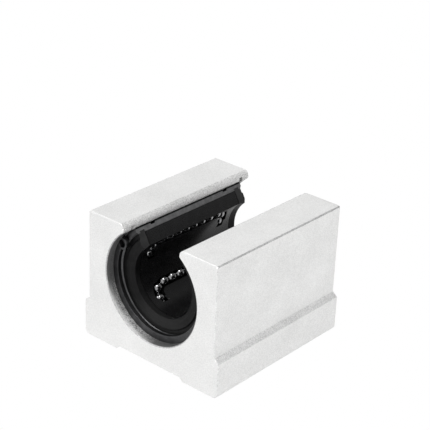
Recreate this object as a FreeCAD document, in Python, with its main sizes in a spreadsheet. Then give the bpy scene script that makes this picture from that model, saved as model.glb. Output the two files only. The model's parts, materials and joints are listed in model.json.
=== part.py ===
# Linear bearing block for a 20 mm supported shaft: an aluminium housing, open along the top so that it can
# pass the shaft's support, with an open ball bush held between two snap rings and kept from turning by a
# set screw. Millimetres, +Z up, the shaft along Y, the origin in the middle of the mounting face.
import FreeCAD, Part
import math
import os
import Sketcher

Vector = FreeCAD.Vector

# driving dimensions, millimetres and degrees, in the order in which the pieces use them
sizes = {
    "block_width": 48.0,  # across the feet
    "block_length": 50.0,
    "block_height": 37.8,
    "shaft_height": 22.8,  # shaft centre above the mounting face
    "foot_height": 10.4,
    "foot_step": 1.55,  # how far each foot stands out from the wall above it
    "shoulder_rise": 1.3,  # slope between foot and body
    "slot_width": 19.3,  # between the lips at the top
    "foot_round": 1.6,
    "top_round": 0.6,
    "lip_round": 1.5,
    "relief_width": 24.0,  # shallow channel that leaves two pads on the mounting face
    "relief_depth": 0.95,
    "relief_slope": 1.1,
    "mouth_chamfer": 0.3,
    "bolt_pitch_across": 35.0,
    "bolt_pitch_along": 35.0,
    "bolt_diameter": 6.0,  # M6, cut at the outer diameter of its thread
    "bolt_depth": 12.0,
    "screw_diameter": 5.0,
    "screw_recess": 0.7,  # below the side face
    "socket_size": 2.5,  # across the flats
    "socket_depth": 2.4,
    "screw_chamfer": 0.6,
    "thread_play": 0.02,
    "shaft_diameter": 20.0,
    "ball_diameter": 3.175,
    "bush_diameter": 32.0,
    "bush_length": 42.0,
    "bush_fit": 0.01,  # radial, between bush and bore
    "opening_width": 19.3,  # across the outer corners of the bush
    "opening_angle": 60.0,
    "sleeve_wall": 1.74,
    "outer_groove_pitch": 28.9,
    "outer_groove_width": 1.6,
    "outer_groove_depth": 0.75,
    "race_width": 2.6,
    "seal_inset": 0.2,  # seal face behind the end of the sleeve
    "seal_thickness": 2.7,
    "seal_mouth": 1.05,  # radial, from shaft to the edge of the seal's face
    "lip_play": 0.03,
    "lip_land": 2.05,
    "end_play": 0.2,  # of the retainer between the seals
    "retainer_play": 0.1,
    "retainer_gap": 0.4,  # radial, from shaft to retainer
    "retainer_wall": 1.95,  # between the turns and the end
    "row_offset": 3.5,  # each row from its circuit's centre
    "ball_play": 0.1,
    "ball_gap": 0.025,  # between neighbours
    "window_share": 0.65,  # width of the windows against the ball's diameter
    "circuits": 5.0,  # of a closed bush: the one at the opening is cut away
    "snap_thickness": 1.2,
    "snap_seat": 0.85,  # depth of its groove in the bore
    "snap_play": 0.05,
    "snap_width": 2.45,
    "snap_taper": 0.35,  # wider opposite the gap, narrower beside it
    "snap_gap_angle": 54.0,
    "lug_angle": 60.0,
    "lug_radius": 1.7,
    "lug_hole": 2.2,
}

doc = FreeCAD.newDocument("linear_bearing_block")
sheet = doc.addObject("Spreadsheet::Sheet", "Sizes")
for row, (alias, number) in enumerate(sizes.items(), start=1):
    sheet.set("A%d" % row, alias)
    sheet.set("B%d" % row, str(number))
    sheet.setAlias("B%d" % row, alias)
doc.recompute()


class Size:
    # a length with the expression that ties it to the sheet
    def __init__(self, value, text):
        self.value = value
        self.text = text

    def __add__(self, other):
        return joined(self, "+", other)

    def __radd__(self, other):
        return joined(other, "+", self)

    def __sub__(self, other):
        return joined(self, "-", other)

    def __rsub__(self, other):
        return joined(other, "-", self)

    def __mul__(self, other):
        return joined(self, "*", other)

    def __truediv__(self, other):
        return joined(self, "/", other)

    def __neg__(self):
        return joined(0, "-", self)


def as_size(item):
    return item if isinstance(item, Size) else Size(float(item), repr(float(item)))


def joined(left, sign, right):
    left = as_size(left)
    right = as_size(right)
    results = {
        "+": left.value + right.value,
        "-": left.value - right.value,
        "*": left.value * right.value,
        "/": left.value / right.value if sign == "/" else 0.0,
    }
    return Size(results[sign], "(%s %s %s)" % (left.text, sign, right.text))


def from_sheet(alias):
    return Size(float(sheet.get(alias)), "Sizes." + alias)


def root(item):
    return Size(math.sqrt(item.value), "sqrt(%s)" % item.text)


def tangent(angle):
    return Size(math.tan(math.radians(angle.value)), "tan(%s)" % angle.text)


def sine(angle):
    return Size(math.sin(math.radians(angle.value)), "sin(%s)" % angle.text)


def cosine(angle):
    return Size(math.cos(math.radians(angle.value)), "cos(%s)" % angle.text)


def arc_tangent(rise, run):
    return Size(math.degrees(math.atan2(rise.value, run.value)), "atan(%s / %s)" % (rise.text, run.text))


def other_side(whole, side):
    # the second short side of a right-angled triangle
    return root(whole * whole - side * side)


# ---- places worked out from the sheet; in each body Z is measured from the shaft's axis ----
block_half = from_sheet("block_length") / 2
foot_side = from_sheet("block_width") / 2
wall_side = foot_side - from_sheet("foot_step")
bore_radius = from_sheet("bush_diameter") / 2
sleeve_outer = bore_radius - from_sheet("bush_fit")
sleeve_inner = sleeve_outer - from_sheet("sleeve_wall")
bush_half = from_sheet("bush_length") / 2
shaft_radius = from_sheet("shaft_diameter") / 2
ball_radius = from_sheet("ball_diameter") / 2

opening_half = from_sheet("opening_width") / 2
opening_slope = tangent(from_sheet("opening_angle") / 2)
opening_apex = other_side(sleeve_outer, opening_half) - opening_half / opening_slope

seal_face = bush_half - from_sheet("seal_inset")
seal_back = seal_face - from_sheet("seal_thickness")
retainer_half = seal_back - from_sheet("end_play")
retainer_outer = sleeve_inner - from_sheet("retainer_play")
retainer_inner = shaft_radius + from_sheet("retainer_gap")

# a circuit at the top: the loaded row is on the +X side, the return row on the -X side and further out
row_offset = from_sheet("row_offset")
track_radius = ball_radius + from_sheet("ball_play")
loaded_radius = shaft_radius + ball_radius
return_radius = sleeve_inner - ball_radius - from_sheet("ball_play") / 2
race_radius = shaft_radius + from_sheet("ball_diameter")
loaded_height = other_side(loaded_radius, row_offset)
return_height = other_side(return_radius, row_offset)
track_height = (loaded_height + return_height) / 2
track_lift = (return_height - loaded_height) / 2
window_half = ball_radius * from_sheet("window_share")
ledge_depth = other_side(ball_radius, window_half) + from_sheet("ball_play") / 2
turn_radius = root(row_offset * row_offset + track_lift * track_lift)
track_tilt = arc_tangent(track_lift, row_offset)
row_angle = arc_tangent(row_offset, loaded_height)
row_half = retainer_half - from_sheet("retainer_wall") - track_radius - turn_radius

snap_back = bush_half + from_sheet("snap_play")
snap_front = snap_back + from_sheet("snap_thickness")
snap_outer = bore_radius + from_sheet("snap_seat") - from_sheet("snap_play")
snap_inner = snap_outer - from_sheet("snap_width")


# ---- helpers for bodies, sketches and features ----
def bind(item, path, size):
    item.setExpression(path, as_size(size).text)


def new_body(label, along=0):
    # a body whose own origin lies on the shaft's axis
    body = doc.addObject("PartDesign::Body", label)
    body.Label = label
    bind(body, "Placement.Base.z", from_sheet("shaft_height"))
    bind(body, "Placement.Base.y", along)
    return body


def origin_item(body, role):
    return next(item for item in body.Origin.OriginFeatures if item.Role == role)


def new_sketch(body, name, role, lift=0, turn_axis=None, turn=0):
    sketch = body.newObject("Sketcher::SketchObject", name)
    sketch.AttachmentSupport = [(origin_item(body, role), "")]
    sketch.MapMode = "FlatFace"
    rotation = FreeCAD.Rotation(turn_axis or Vector(0, 0, 1), as_size(turn).value)
    sketch.AttachmentOffset = FreeCAD.Placement(Vector(0, 0, as_size(lift).value), rotation)
    bind(sketch, "AttachmentOffset.Base.z", lift)
    if turn_axis:
        bind(sketch, "AttachmentOffset.Rotation.Angle", turn)
    return sketch


def constrain(sketch, kind, *where, size):
    index = sketch.addConstraint(Sketcher.Constraint(kind, *where, as_size(size).value))
    bind(sketch, "Constraints[%d]" % index, size)


def pin_point(sketch, edge, end, across, up):
    constrain(sketch, "DistanceX", -1, 1, edge, end, size=across)
    constrain(sketch, "DistanceY", -1, 1, edge, end, size=up)


def vector_of(corner):
    return Vector(as_size(corner[0]).value, as_size(corner[1]).value, 0)


def draw_outline(sketch, corners):
    # straight lines through the corners, closed
    first = sketch.GeometryCount
    following = corners[1:] + corners[:1]
    for start, end in zip(corners, following):
        sketch.addGeometry(Part.LineSegment(vector_of(start), vector_of(end)), False)
    for index in range(len(corners)):
        after = first + (index + 1) % len(corners)
        sketch.addConstraint(Sketcher.Constraint("Coincident", first + index, 2, after, 1))
    for index, corner in enumerate(corners):
        pin_point(sketch, first + index, 1, *corner)


def draw_circle(sketch, across, up, radius):
    circle = Part.Circle(vector_of((across, up)), Vector(0, 0, 1), as_size(radius).value)
    index = sketch.addGeometry(circle, False)
    pin_point(sketch, index, 3, across, up)
    constrain(sketch, "Radius", index, size=radius)


def draw_track(sketch, half_width, half_length):
    # two straight rows along the sketch's second axis, joined by half turns
    first = sketch.GeometryCount
    low = vector_of((half_width, -half_length))
    high = vector_of((half_width, half_length))
    centre = vector_of((0, half_length))
    far_end = Part.Circle(centre, Vector(0, 0, 1), half_width.value)
    near_end = Part.Circle(-centre, Vector(0, 0, 1), half_width.value)
    sketch.addGeometry(Part.LineSegment(low, high), False)
    sketch.addGeometry(Part.ArcOfCircle(far_end, 0, math.pi), False)
    sketch.addGeometry(Part.LineSegment(-low, -high), False)
    sketch.addGeometry(Part.ArcOfCircle(near_end, math.pi, 2 * math.pi), False)
    for row, side in ((first, 1), (first + 2, -1)):
        pin_point(sketch, row, 1, half_width * side, half_length * -side)
        pin_point(sketch, row, 2, half_width * side, half_length * side)
    for turn, before, after, side in ((first + 1, first, first + 2, 1), (first + 3, first + 2, first, -1)):
        sketch.addConstraint(Sketcher.Constraint("Coincident", turn, 1, before, 2))
        sketch.addConstraint(Sketcher.Constraint("Coincident", turn, 2, after, 1))
        constrain(sketch, "DistanceY", -1, 1, turn, 3, size=half_length * side)


def feature(body, kind, name, sketch, **settings):
    item = body.newObject("PartDesign::" + kind, name)
    item.Profile = sketch
    for key, value in settings.items():
        setattr(item, key, value)
    sketch.Visibility = False
    return item


def pad_both_ways(body, name, sketch, length):
    item = feature(body, "Pad", name, sketch, SideType="Symmetric")
    bind(item, "Length", length)
    return item


def cut_through(body, name, sketch):
    return feature(body, "Pocket", name, sketch, SideType="Symmetric", Type="ThroughAll")


def turned(body, kind, name, sketch):
    # a profile in the YZ plane turned about the shaft's axis
    return feature(body, kind, name, sketch, ReferenceAxis=(sketch, ["H_Axis"]), Angle=360.0)


def mirrored_outline(half):
    # corners of a ring's section: half of it at +Y, repeated in reverse at -Y
    return half + [(-along, out) for along, out in reversed(half)]


def cut_opening(body):
    # the wedge that leaves the bush open at the top
    reach = bore_radius * 2
    half_reach = (reach - opening_apex) * opening_slope
    sketch = new_sketch(body, "OpeningSketch", "XZ_Plane")
    draw_outline(sketch, [(0, opening_apex), (half_reach, reach), (-half_reach, reach)])
    cut_through(body, "Opening", sketch)


def cut_gap(body, half_angle):
    # the gap of a ring, between two radii from the shaft's axis
    reach = bore_radius * 2
    half_reach = reach * tangent(half_angle)
    sketch = new_sketch(body, "GapSketch", "XZ_Plane")
    draw_outline(sketch, [(0, 0), (half_reach, reach), (-half_reach, reach)])
    cut_through(body, "Gap", sketch)


def pattern(body, name, originals):
    item = body.newObject("PartDesign::PolarPattern", name)
    item.Originals = originals
    item.Axis = (origin_item(body, "Y_Axis"), [""])
    item.Angle = 360.0
    bind(item, "Occurrences", from_sheet("circuits"))
    body.Tip = item
    return item


def edges_at(shape, places):
    # names of the straight edges along Y that pass through the given XZ places
    names = []
    for number, edge in enumerate(shape.Edges, start=1):
        start = edge.Vertexes[0].Point
        end = edge.Vertexes[-1].Point
        along_shaft = abs(start.x - end.x) + abs(start.z - end.z) < 1e-6
        if along_shaft and any(math.hypot(start.x - x, start.z - z) < 1e-3 for x, z in places):
            names.append("Edge%d" % number)
    return names


def round_edges(body, name, base, places, radius):
    doc.recompute()
    item = body.newObject("PartDesign::Fillet", name)
    item.Base = (base, edges_at(base.Shape, places))
    bind(item, "Radius", radius)
    return item


# ---- housing ----
def make_housing():
    body = new_body("housing")
    base = -from_sheet("shaft_height")
    top = base + from_sheet("block_height")
    foot_top = base + from_sheet("foot_height")
    relief_foot = from_sheet("relief_width") / 2
    relief_top = relief_foot - from_sheet("relief_slope")
    right = [
        (relief_top, base + from_sheet("relief_depth")),
        (relief_foot, base),
        (foot_side, base),
        (foot_side, foot_top),
        (wall_side, foot_top + from_sheet("shoulder_rise")),
        (wall_side, top),
    ]
    sketch = new_sketch(body, "SectionSketch", "XZ_Plane")
    draw_outline(sketch, mirrored_outline(right))
    pad_both_ways(body, "Section", sketch, from_sheet("block_length"))

    lip = from_sheet("slot_width") / 2
    sketch = new_sketch(body, "SlotSketch", "XZ_Plane")
    draw_outline(sketch, [(lip, 0), (lip, top * 2), (-lip, top * 2), (-lip, 0)])
    slot = cut_through(body, "Slot", sketch)

    both = (1, -1)
    feet = [(s * foot_side.value, base.value) for s in both]
    tops = [(s * wall_side.value, top.value) for s in both]
    lips = [(s * lip.value, top.value) for s in both]
    rounded = round_edges(body, "FootRounds", slot, feet, from_sheet("foot_round"))
    rounded = round_edges(body, "TopRounds", rounded, tops, from_sheet("top_round"))
    round_edges(body, "LipRounds", rounded, lips, from_sheet("lip_round"))

    sketch = new_sketch(body, "BoreSketch", "XZ_Plane")
    draw_circle(sketch, 0, 0, bore_radius)
    cut_through(body, "Bore", sketch)
    cut_ring_seats(body)
    drill_base(body, base)
    drill_side(body)
    return body


def cut_ring_seats(body):
    # the two snap ring grooves and the chamfers at the bore's mouths
    spare = 1  # how far a cutting profile reaches past what it cuts
    seat = bore_radius + from_sheet("snap_seat")
    seat_far = snap_front + from_sheet("snap_play")
    inside = bore_radius - spare
    chamfer = from_sheet("mouth_chamfer")
    past = block_half + spare
    sketch = new_sketch(body, "SeatSketch", "YZ_Plane")
    for s in (1, -1):
        near, far = bush_half * s, seat_far * s
        draw_outline(sketch, [(near, inside), (near, seat), (far, seat), (far, inside)])
        mouth = (block_half - chamfer - spare) * s
        draw_outline(sketch, [(mouth, inside), (past * s, bore_radius + chamfer + spare), (past * s, inside)])
    turned(body, "Groove", "RingSeats", sketch)


def drill_base(body, base):
    # four blind holes for M6 screws, entered from below
    across = from_sheet("bolt_pitch_across") / 2
    along = from_sheet("bolt_pitch_along") / 2
    radius = from_sheet("bolt_diameter") / 2
    sketch = new_sketch(body, "BoltSketch", "XY_Plane", lift=base)
    for s in (1, -1):
        for t in (1, -1):
            draw_circle(sketch, across * s, along * t, radius)
    doc.recompute()
    holes = feature(body, "Hole", "BoltHoles", sketch)
    holes.DepthType = "Dimension"
    holes.DrillPoint = "Flat"
    holes.Reversed = True
    bind(holes, "Diameter", from_sheet("bolt_diameter"))
    bind(holes, "Depth", from_sheet("bolt_depth"))


def drill_side(body):
    # the set screw's hole, through the -X wall only
    sketch = new_sketch(body, "ScrewSketch", "YZ_Plane")
    draw_circle(sketch, 0, 0, from_sheet("screw_diameter") / 2)
    hole = feature(body, "Pocket", "ScrewHole", sketch)
    bind(hole, "Length", foot_side)


hexagon_angle = 60  # between neighbouring corners of the socket, from its middle


def make_set_screw():
    # turned about its own axis, along X, with a flat point on the sleeve
    body = new_body("set_screw")
    radius = from_sheet("screw_diameter") / 2 - from_sheet("thread_play")
    chamfer = from_sheet("screw_chamfer")
    head = from_sheet("screw_recess") - wall_side
    point = -sleeve_outer
    sketch = new_sketch(body, "ScrewSketch", "XZ_Plane")
    draw_outline(
        sketch,
        [
            (head, 0),
            (head, radius - chamfer / 2),
            (head + chamfer / 2, radius),
            (point - chamfer, radius),
            (point, radius - chamfer),
            (point, 0),
        ],
    )
    turned(body, "Revolution", "Screw", sketch)

    half_flat = from_sheet("socket_size") / 2
    half_side = half_flat * tangent(as_size(hexagon_angle / 2))
    sketch = new_sketch(body, "SocketSketch", "YZ_Plane", lift=head + from_sheet("socket_depth"))
    draw_outline(
        sketch,
        [
            (half_side * 2, 0),
            (half_side, half_flat),
            (-half_side, half_flat),
            (half_side * -2, 0),
            (-half_side, -half_flat),
            (half_side, -half_flat),
        ],
    )
    feature(body, "Pocket", "Socket", sketch, Type="ThroughAll")
    return body


# ---- bush ----
def make_sleeve():
    body = new_body("bush_sleeve")
    groove_middle = from_sheet("outer_groove_pitch") / 2
    groove_half = from_sheet("outer_groove_width") / 2
    groove_floor = sleeve_outer - from_sheet("outer_groove_depth")
    half = [
        (groove_middle - groove_half, sleeve_outer),
        (groove_middle - groove_half, groove_floor),
        (groove_middle + groove_half, groove_floor),
        (groove_middle + groove_half, sleeve_outer),
        (bush_half, sleeve_outer),
        (bush_half, sleeve_inner),
    ]
    sketch = new_sketch(body, "SectionSketch", "YZ_Plane")
    draw_outline(sketch, mirrored_outline(half))
    turned(body, "Revolution", "Section", sketch)
    race = add_race(body)
    pattern(body, "Races", [race])
    cut_opening(body)
    return body


def add_race(body):
    # the hardened ridge that a loaded row rolls under, standing in from the sleeve's wall
    half = from_sheet("race_width") / 2
    root_height = sleeve_inner + from_sheet("sleeve_wall") / 4
    sketch = new_sketch(body, "RaceSketch", "XZ_Plane", turn_axis=Vector(0, 0, -1), turn=row_angle)
    spread = math.asin(half.value / race_radius.value)
    circle = Part.Circle(Vector(0, 0, 0), Vector(0, 0, 1), race_radius.value)
    face = sketch.addGeometry(Part.ArcOfCircle(circle, math.pi / 2 - spread, math.pi / 2 + spread), False)
    start = circle.value(math.pi / 2 - spread)
    end = circle.value(math.pi / 2 + spread)
    corners = [start, vector_of((half, root_height)), vector_of((-half, root_height)), end]
    for a, b in zip(corners, corners[1:]):
        sketch.addGeometry(Part.LineSegment(a, b), False)
    sketch.addConstraint(Sketcher.Constraint("Coincident", face, 3, -1, 1))
    constrain(sketch, "Radius", face, size=race_radius)
    sketch.addConstraint(Sketcher.Constraint("Coincident", face, 1, face + 1, 1))
    sketch.addConstraint(Sketcher.Constraint("Coincident", face + 3, 2, face, 2))
    sketch.addConstraint(Sketcher.Constraint("Coincident", face + 1, 2, face + 2, 1))
    sketch.addConstraint(Sketcher.Constraint("Coincident", face + 2, 2, face + 3, 1))
    constrain(sketch, "DistanceX", -1, 1, face, 1, size=half)
    constrain(sketch, "DistanceX", -1, 1, face, 2, size=-half)
    pin_point(sketch, face + 2, 1, half, root_height)
    pin_point(sketch, face + 2, 2, -half, root_height)
    return pad_both_ways(body, "Race", sketch, row_half * 2)


def make_retainer():
    # moulded ring with a track for each circuit, pulled straight out from the circuit's centre
    body = new_body("ball_retainer")
    sketch = new_sketch(body, "SectionSketch", "YZ_Plane")
    draw_outline(sketch, mirrored_outline([(retainer_half, retainer_outer), (retainer_half, retainer_inner)]))
    turned(body, "Revolution", "Section", sketch)
    parts = [cut_track_well(body), cut_track_window(body), cut_race_way(body)]
    pattern(body, "Circuits", parts)
    cut_opening(body)
    return body


def track_sketch(body, name, half_width):
    # the loop of a circuit, drawn in the plane that leans with it from the loaded row up to the return row
    sketch = new_sketch(body, name, "XY_Plane", lift=track_height, turn_axis=Vector(0, 1, 0), turn=track_tilt)
    draw_track(sketch, turn_radius + half_width, row_half)
    draw_track(sketch, turn_radius - half_width, row_half)
    return sketch


def cut_track_well(body):
    # as wide as a ball, open to the outside: an island stays between the rows, and a ledge under the balls
    sketch = track_sketch(body, "WellSketch", track_radius)
    well = feature(body, "Pocket", "TrackWell", sketch, SideType="Two sides")
    bind(well, "Length", ledge_depth)
    bind(well, "Length2", bore_radius - track_height)
    return well


def cut_track_window(body):
    # narrower than a ball: open to the bore under the loaded row and the turns, blind under the return row
    sketch = track_sketch(body, "WindowSketch", window_half)
    window = feature(body, "Pocket", "TrackWindow", sketch)
    bind(window, "Length", track_radius)
    return window


def cut_race_way(body):
    # the straight way, end to end, that lets the retainer slide in past the sleeve's ridge
    half = from_sheet("race_width") / 2 + from_sheet("retainer_play")
    floor = race_radius - from_sheet("retainer_play")
    sketch = new_sketch(body, "WaySketch", "XZ_Plane", turn_axis=Vector(0, 0, -1), turn=row_angle)
    top = sleeve_outer
    draw_outline(sketch, [(half, floor), (half, top), (-half, top), (-half, floor)])
    return cut_through(body, "RaceWay", sketch)


def make_seal(label, side):
    # rubber ring pressed into the sleeve, with a flat face and a mouth that narrows to the lip
    body = new_body(label)
    lip = shaft_radius + from_sheet("lip_play")
    section = [
        (seal_back, sleeve_inner),
        (seal_face, sleeve_inner),
        (seal_face, shaft_radius + from_sheet("seal_mouth")),
        (seal_back + from_sheet("lip_land"), lip),
        (seal_back, lip),
    ]
    sketch = new_sketch(body, "SectionSketch", "YZ_Plane")
    draw_outline(sketch, [(along * side, out) for along, out in section])
    turned(body, "Revolution", "Section", sketch)
    cut_opening(body)
    return body


def make_snap_ring(label, side):
    # internal snap ring: its inner edge is off centre, so that it is widest opposite the gap
    body = new_body(label, along=(snap_front + snap_back) / 2 * side)
    lug_angle = from_sheet("lug_angle")
    lug_reach = snap_outer - from_sheet("lug_radius") - from_sheet("snap_play")
    lug_across = lug_reach * sine(lug_angle)
    lug_up = lug_reach * cosine(lug_angle)
    thickness = from_sheet("snap_thickness")
    sketch = new_sketch(body, "RingSketch", "XZ_Plane")
    draw_circle(sketch, 0, 0, snap_outer)
    draw_circle(sketch, 0, from_sheet("snap_taper"), snap_inner)
    pad_both_ways(body, "Ring", sketch, thickness)
    cut_gap(body, from_sheet("snap_gap_angle"))
    sketch = new_sketch(body, "LugSketch", "XZ_Plane")
    for s in (1, -1):
        draw_circle(sketch, lug_across * s, lug_up, from_sheet("lug_radius"))
    pad_both_ways(body, "Lugs", sketch, thickness)
    sketch = new_sketch(body, "HoleSketch", "XZ_Plane")
    for s in (1, -1):
        draw_circle(sketch, lug_across * s, lug_up, from_sheet("lug_hole") / 2)
    cut_through(body, "PlierHoles", sketch)
    return body


# ---- balls ----
def track_point(distance):
    # centre of a ball at a distance along a circuit at the top, from the middle of its loaded row towards -Y
    straight = 2 * row_half.value
    turn = math.pi * row_offset.value
    whole = 2 * (straight + turn)
    distance = (distance + straight / 2) % whole
    rise = return_height.value - loaded_height.value
    if distance < straight:
        return Vector(row_offset.value, row_half.value - distance, loaded_height.value)
    if distance < straight + turn:
        angle = (distance - straight) / row_offset.value
        lift = rise * math.sin(angle / 2)
        across = row_offset.value * math.cos(angle)
        along = row_half.value + row_offset.value * math.sin(angle)
        return Vector(across, -along, loaded_height.value + lift)
    if distance < 2 * straight + turn:
        return Vector(-row_offset.value, distance - straight - turn - row_half.value, return_height.value)
    angle = (distance - 2 * straight - turn) / row_offset.value
    lift = rise * math.cos(angle / 2)
    across = -row_offset.value * math.cos(angle)
    along = row_half.value + row_offset.value * math.sin(angle)
    return Vector(across, along, loaded_height.value + lift)


def faceted_ball(centre):
    # a ball with few faces: six sides round and three bands from pole to pole, all corners on the true sphere
    sides = 6
    bands = 3
    radius = ball_radius.value

    def corner(band, side):
        fall = math.pi * band / bands
        around = 2 * math.pi * side / sides
        ring = radius * math.sin(fall)
        return centre + Vector(ring * math.cos(around), ring * math.sin(around), radius * math.cos(fall))

    faces = []
    for band in range(bands):
        below = band + 1
        for side in range(sides):
            loop = [corner(band, side), corner(band, side + 1), corner(below, side + 1), corner(below, side)]
            kept = [point for index, point in enumerate(loop) if not point.isEqual(loop[index - 1], 1e-6)]
            faces.append(Part.Face(Part.makePolygon(kept + kept[:1])))
    return Part.makeSolid(Part.makeShell(faces))


def stretch_of(point):
    if abs(point.y) > row_half.value:
        return "front_turn" if point.y < 0 else "rear_turn"
    return "loaded" if point.x > 0 else "return"


def make_circuit(number, turn_angle, phase):
    # one closed string of balls, split into its loaded row, its return row and its two turns; the string is a
    # little shorter than its track, and the slack is in the return row
    pitch = 2 * ball_radius.value + from_sheet("ball_gap").value
    whole = 4 * row_half.value + 2 * math.pi * row_offset.value
    groups = {"loaded": [], "front_turn": [], "return": [], "rear_turn": []}
    count = int(whole / pitch)
    for index in range(count):
        point = track_point((phase + index - count // 2) * pitch)
        stretch = stretch_of(point)
        groups[stretch].append(faceted_ball(point))
    for stretch, balls in groups.items():
        item = doc.addObject("Part::Feature", "circuit_%d_%s_balls" % (number, stretch))
        item.Label = item.Name
        item.Shape = Part.makeCompound(balls)
        spin = FreeCAD.Rotation(Vector(0, -1, 0), turn_angle)
        item.Placement = FreeCAD.Placement(Vector(0, 0, from_sheet("shaft_height").value), spin)
        pieces.append(item)


pieces = [
    make_housing(),
    make_sleeve(),
    make_retainer(),
    make_seal("front_seal", -1),
    make_seal("rear_seal", 1),
    make_snap_ring("front_snap_ring", -1),
    make_snap_ring("rear_snap_ring", 1),
    make_set_screw(),
]
phases = [0.6, 1.15, 0.1, 0.8]  # how far each string of balls happens to have rolled on, in balls
circuit_step = 360.0 / from_sheet("circuits").value
for number, phase in enumerate(phases, start=1):
    make_circuit(number, number * circuit_step, phase)

doc.recompute()
faults = [item.Name for item in doc.Objects if "Invalid" in item.State or "Error" in item.State]
for piece in pieces:
    if piece.Shape.isNull() or not piece.Shape.isValid():
        faults.append(piece.Label)
if faults:
    raise RuntimeError("failed: " + ", ".join(faults))

os.makedirs("parts", exist_ok=True)
for piece in pieces:
    piece.Shape.exportStep("parts/%s.step" % piece.Label)
    print("%-28s %2d solids %10.1f mm3" % (piece.Label, len(piece.Shape.Solids), piece.Shape.Volume))
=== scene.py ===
import json
import math

import bmesh
import bpy
import numpy as np
from mathutils import Matrix, Vector


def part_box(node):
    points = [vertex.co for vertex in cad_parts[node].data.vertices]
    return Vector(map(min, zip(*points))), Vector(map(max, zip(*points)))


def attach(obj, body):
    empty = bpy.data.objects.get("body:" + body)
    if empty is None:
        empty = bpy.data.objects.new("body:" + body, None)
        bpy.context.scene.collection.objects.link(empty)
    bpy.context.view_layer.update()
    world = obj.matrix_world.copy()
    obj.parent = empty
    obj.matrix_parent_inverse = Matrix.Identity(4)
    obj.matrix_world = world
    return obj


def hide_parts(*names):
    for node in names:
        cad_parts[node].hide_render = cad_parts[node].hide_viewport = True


# An open linear bearing block for a 20 mm supported shaft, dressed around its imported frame.
# Metres, +Z up, the shaft along Y. Sizes in the dictionaries are in millimetres unless they say otherwise.
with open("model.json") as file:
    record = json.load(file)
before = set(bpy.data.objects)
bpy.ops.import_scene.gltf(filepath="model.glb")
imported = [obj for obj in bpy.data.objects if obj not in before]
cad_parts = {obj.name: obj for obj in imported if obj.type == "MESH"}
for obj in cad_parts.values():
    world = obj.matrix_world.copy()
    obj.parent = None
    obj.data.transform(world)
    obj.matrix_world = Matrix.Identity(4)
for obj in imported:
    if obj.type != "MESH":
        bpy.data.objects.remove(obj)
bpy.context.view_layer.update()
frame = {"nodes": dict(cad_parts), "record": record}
print("frame loaded")

mm = 0.001
mountPlaces = {mount["name"]: mount for mount in frame["record"]["mounts"]}
shaftHeight = mountPlaces["shaft"]["pos_m"][2] / mm
blockHigh = np.array(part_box("housing")[1]) / mm
bushHigh = np.array(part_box("bush_sleeve")[1]) / mm
sealLow, sealHigh = (np.array(corner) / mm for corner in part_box("rear_seal"))
ringLow, ringHigh = (np.array(corner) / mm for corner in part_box("rear_snap_ring"))
screwLow, screwHigh = (np.array(corner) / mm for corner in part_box("set_screw"))

tolerance = {
    "newMerge": 0.0005,  # corners of a new piece that are nearer than this are one
    "packedMerge": 0.001,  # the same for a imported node's loose triangles
    "flatTurn": 0.2,  # degrees between two packed faces that are one flat face
    "bevelTurn": 35.0,  # degrees between two faces from which their edge is broken
}


def linked(name, data):
    # a new object for a mesh, light or camera, put into the scene
    thing = bpy.data.objects.new(name, data)
    bpy.context.scene.collection.objects.link(thing)
    return thing


def toFrame(across, along, up):
    # places measured from the shaft's axis, in mm, as the frame's coordinates in metres
    across, along, up = np.broadcast_arrays(across, along, up)
    return np.stack([across, along, up + shaftHeight], axis=-1) * mm


def gridFaces(rows, columns, closedRows, closedColumns):
    # the four corner numbers of every cell of a grid, each its row times columns plus its column, wrapped
    # round where the grid is closed
    row = np.arange(rows if closedRows else rows - 1)
    column = np.arange(columns if closedColumns else columns - 1)
    row, column = np.meshgrid(row, column, indexing="ij")
    nextRow = (row + 1) % rows
    nextColumn = (column + 1) % columns
    corners = ((row, column), (row, nextColumn), (nextRow, nextColumn), (nextRow, column))
    return np.stack([line * columns + place for line, place in corners], axis=-1).reshape(-1, 4)


def cappedFaces(rows, columns):
    # the cells of a grid closed round its columns, then one face over its first row and one over its last
    caps = [list(range(columns)), list(range((rows - 1) * columns, rows * columns))]
    return gridFaces(rows, columns, False, True).tolist() + caps


def smoothTo(mesh, angle):
    # smooth shading, with every edge sharper than the angle, in degrees, kept sharp
    mesh.shade_smooth()
    mesh.set_sharp_from_angle(angle=math.radians(angle))


def newPiece(name, points, faces, sharpAngle=30.0, faceKinds=None):
    # an object from its corner places and faces: doubles merged, faces turned outwards, smooth up to the
    # angle
    mesh = bpy.data.meshes.new(name)
    mesh.from_pydata(points.reshape(-1, 3).tolist(), [], [list(face) for face in faces])
    if faceKinds is not None:
        mesh.polygons.foreach_set("material_index", np.asarray(faceKinds, np.int32))
    body = bmesh.new()
    body.from_mesh(mesh)
    bmesh.ops.remove_doubles(body, verts=body.verts, dist=tolerance["newMerge"] * mm)
    bmesh.ops.recalc_face_normals(body, faces=body.faces)
    body.to_mesh(mesh)
    body.free()
    smoothTo(mesh, sharpAngle)
    return linked(name, mesh)


def mergedCopy(nodeName, name, sharpAngle=30.0):
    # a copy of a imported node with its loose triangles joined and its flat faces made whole
    mesh = frame["nodes"][nodeName].data.copy()
    mesh.name = name
    body = bmesh.new()
    body.from_mesh(mesh)
    bmesh.ops.remove_doubles(body, verts=body.verts, dist=tolerance["packedMerge"] * mm)
    flat = math.radians(tolerance["flatTurn"])
    bmesh.ops.dissolve_limit(body, angle_limit=flat, verts=body.verts, edges=body.edges)
    body.to_mesh(mesh)
    body.free()
    mesh.materials.clear()
    smoothTo(mesh, sharpAngle)
    return linked(name, mesh)


def settle(piece):
    # the piece's modifiers worked into its mesh
    shown = piece.evaluated_get(bpy.context.evaluated_depsgraph_get())
    mesh = bpy.data.meshes.new_from_object(shown)
    piece.modifiers.clear()
    piece.data = mesh


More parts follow.
